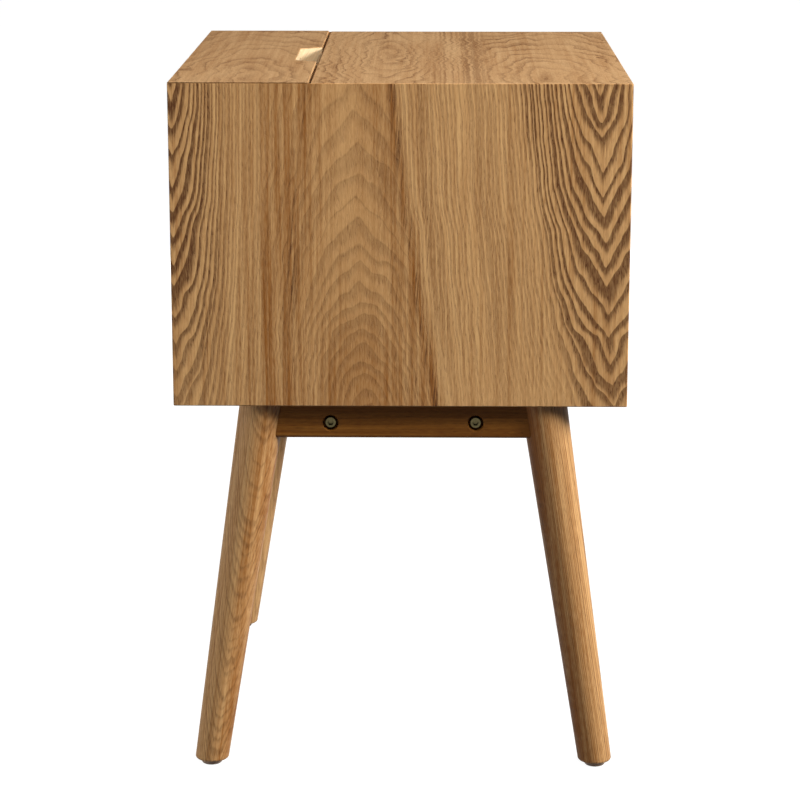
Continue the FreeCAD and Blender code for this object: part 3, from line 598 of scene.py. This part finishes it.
def make_metal(name, colour, roughness, mark_length):
    """Plated or solid metal with fine marks along X, mark_length mm long, and small changes of gloss."""
    material, tree, shader = new_material(name)
    x, y, z = places(tree)
    cloud = noise(x / 4.0, y / 4.0, z / 4.0, detail=4.0)
    scratches = noise(x / mark_length, y / 0.15, z / 0.15)
    bright = smooth(cloud + scratches * 0.5, -0.25, 0.3)
    mottled = blend_colour(tree, bright, darker(colour, share=0.72), colour)
    tree.links.new(mottled, shader.inputs["Base Color"])
    shader.inputs["Metallic"].default_value = 1.0
    tree.links.new((roughness + cloud * 0.2 + scratches * 0.12).socket, shader.inputs["Roughness"])
    set_bump(tree, shader, scratches + cloud * 0.5, SCRATCH_DEPTH)
    return material


def make_moulded(name, colour, roughness):
    """Moulded plastic or rubber: slightly mottled, finely grained."""
    material, tree, shader = new_material(name)
    x, y, z = places(tree)
    cloud = noise(x / 6.0, y / 6.0, z / 6.0, detail=4.0)
    grain = noise(x / 0.4, y / 0.4, z / 0.4)
    bright = smooth(cloud + grain * 0.3, -0.3, 0.3)
    mottled = blend_colour(tree, bright, darker(colour, share=0.7), colour)
    tree.links.new(mottled, shader.inputs["Base Color"])
    tree.links.new((roughness + cloud * 0.15 + grain * 0.1).socket, shader.inputs["Roughness"])
    set_bump(tree, shader, grain, MOULD_DEPTH)
    return material


# ------------------------------------------------------------ which piece is of what

def paint(material, *names):
    """Gives the material to the pieces of these names."""
    for name in names:
        data = NODES[name].data
        data.materials.clear()
        data.materials.append(material)


def paint_box():
    paint(make_side_ash("ash_side_left", seed=0.0, face=-1.0), "side_panel_left")
    paint(make_side_ash("ash_side_right", seed=31.0, face=1.0), "side_panel_right")
    fixed_top = make_across_ash("ash_top", "fixed_top", 4.0, TOP_EYES, tone=0.26, bold=1.05, lines_at=148.0)
    paint(fixed_top, "fixed_top")
    paint(make_across_ash("ash_lid", "lid", 9.0, LID_EYES, tone=0.3, bold=0.9, notch=True), "lid")
    bottom = make_across_ash("ash_bottom", "bottom_panel", 14.0, TOP_EYES, tone=0.35, bold=0.4, palette=ASH)
    paint(bottom, "bottom_panel")
    inner = make_across_ash("ash_inside", "divider_panel", 19.0, LID_EYES, tone=0.3, bold=0.35, palette=ASH)
    paint(inner, "divider_panel", "hinge_rail", "drawer_rail")
    back = make_plain_wood("plywood", 2, 65.0, PALE, tone=0.2, bold=0.25, ring=9.0)
    paint(back, "back_panel")


def paint_legs():
    for number, (place, (degrees, *figure)) in enumerate(LEGS.items()):
        leg = f"leg_{place}"
        turn = math.radians(degrees)
        seed = FIRST_LEG_SEED + number
        paint(make_leg_ash(f"ash_leg_{place}", leg, f"glide_{place}", turn, *figure, seed), leg)
    for kind, along_axis, seed, both in RAILS:
        # Painted shade: the rails' high tone and dark palette darken them for the shade under the box.
        rail = make_plain_wood(f"ash_{kind}_rail", along_axis, seed, ASH_RAIL_PAINTED_SHADE, tone=0.65, bold=0.25,
                               gloss=RAIL_GLOSS)
        paint(rail, *[f"{kind}_rail_{place}" for place in both])


def paint_drawers():
    paint(make_front_ash("ash_front_upper", seed=21.0, rise=55.0, heart_x=-40.0), "upper_drawer_front")
    paint(make_front_ash("ash_front_lower", seed=25.0, rise=50.0, heart_x=70.0), "lower_drawer_front")
    both_sides = [(level, side) for level in ("upper", "lower") for side in ("left", "right")]
    lengthwise = [f"{level}_drawer_{side}_side" for level, side in both_sides]
    runners = [f"{level}_{side}_runner" for level, side in both_sides]
    paint(make_plain_wood("drawer_wood_long", 1, 61.0, PALE, tone=0.3, bold=0.3), *lengthwise, *runners)
    paint(make_plain_wood("drawer_wood_wide", 0, 63.0, PALE, tone=0.3, bold=0.3),
          "upper_drawer_back", "lower_drawer_back")
    paint(make_plain_wood("plywood_bottom", 0, 67.0, PALE, tone=0.2, bold=0.25, ring=9.0),
          "upper_drawer_bottom", "lower_drawer_bottom")


def paint_fasteners():
    paint(make_plain_wood("beech", 0, 69.0, BEECH, tone=0.3, bold=0.3, ring=1.5),
          "carcase_dowels", "frame_dowels", "mitre_tongues", "drawer_stop_pegs", "upper_drawer_dowels",
          "lower_drawer_dowels")
    paint(make_metal("zinc_steel", srgb(92, 84, 58), roughness=0.28, mark_length=3.0),
          "frame_bolts", "barrel_nuts")
    paint(make_metal("zinc_screw", srgb(190, 186, 172), roughness=0.38, mark_length=1.0),
          "back_panel_screws", "runner_screws", "frame_screws")
    paint(make_metal("brass", srgb(208, 170, 92), roughness=0.3, mark_length=5.0),
          "left_hinge_fixed_leaf", "right_hinge_fixed_leaf", "left_hinge_moving_leaf",
          "right_hinge_moving_leaf", "left_hinge_pin", "right_hinge_pin", "fixed_leaf_screws",
          "moving_leaf_screws")
    paint(make_moulded("glide_plastic", srgb(124, 98, 76), roughness=0.5),
          *[f"glide_{place}" for place in LEGS])
    paint(make_moulded("pad", srgb(96, 84, 72), roughness=0.8), "lid_rest_pads")


# ------------------------------------------------------------ floor, light and camera

def make_floor():
    """A floor that glows, so that it stays white to the horizon, but sends the pieces no diffuse light."""
    bpy.ops.mesh.primitive_plane_add(size=FLOOR_SIZE)
    floor = bpy.context.object
    floor.name = "floor"
    floor.visible_diffuse = False
    material, _, shader = new_material("studio_floor")
    shader.inputs["Base Color"].default_value = FLOOR_COLOUR
    shader.inputs["Roughness"].default_value = FLOOR_ROUGHNESS
    shader.inputs["Specular IOR Level"].default_value = 0.0
    shader.inputs["Emission Color"].default_value = WHITE
    shader.inputs["Emission Strength"].default_value = FLOOR_GLOW
    floor.data.materials.append(material)
    floor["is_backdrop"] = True


def aim(thing, place, target):
    """Puts a light or camera at place and turns it towards target."""
    thing.location = place
    thing.rotation_euler = (Vector(target) - Vector(place)).to_track_quat("-Z", "Y").to_euler()


def make_light(name, place, target, size, power):
    data = bpy.data.lights.new(name, "AREA")
    data.shape = "RECTANGLE"
    data.size, data.size_y = size
    data.energy = power
    light = bpy.data.objects.new(name, data)
    light.visible_camera = False
    bpy.context.scene.collection.objects.link(light)
    aim(light, place, target)


def make_world():
    """White behind everything for the camera, and dim soft light for the pieces, most of it from above."""
    world = bpy.data.worlds.new("studio")
    bpy.context.scene.world = world
    world.use_nodes = True
    tree = world.node_tree
    background = tree.nodes["Background"]
    direction = tree.nodes.new("ShaderNodeTexCoord")
    split = tree.nodes.new("ShaderNodeSeparateXYZ")
    tree.links.new(direction.outputs["Generated"], split.inputs[0])
    sky = smooth(Field(tree, split.outputs["Z"]), SKY_STARTS, SKY_FULL) * SKY_LIGHT + GROUND_LIGHT
    seen = Field(tree, tree.nodes.new("ShaderNodeLightPath").outputs["Is Camera Ray"])
    connect(tree, choose(seen, sky, BACKDROP), background.inputs["Strength"])
    background.inputs["Color"].default_value = WHITE


def make_camera():
    data = bpy.data.cameras.new("camera")
    data.lens = LENS
    data.sensor_width = SENSOR
    camera = bpy.data.objects.new("camera", data)
    bpy.context.scene.collection.objects.link(camera)
    aim(camera, CAMERA_AT, CAMERA_TARGET)
    bpy.context.scene.camera = camera


make_camera()
make_world()
make_floor()
for light in LIGHTS:
    make_light(*light)
paint_box()
paint_legs()
paint_drawers()
paint_fasteners()
bpy.context.scene.view_settings.view_transform = "Standard"
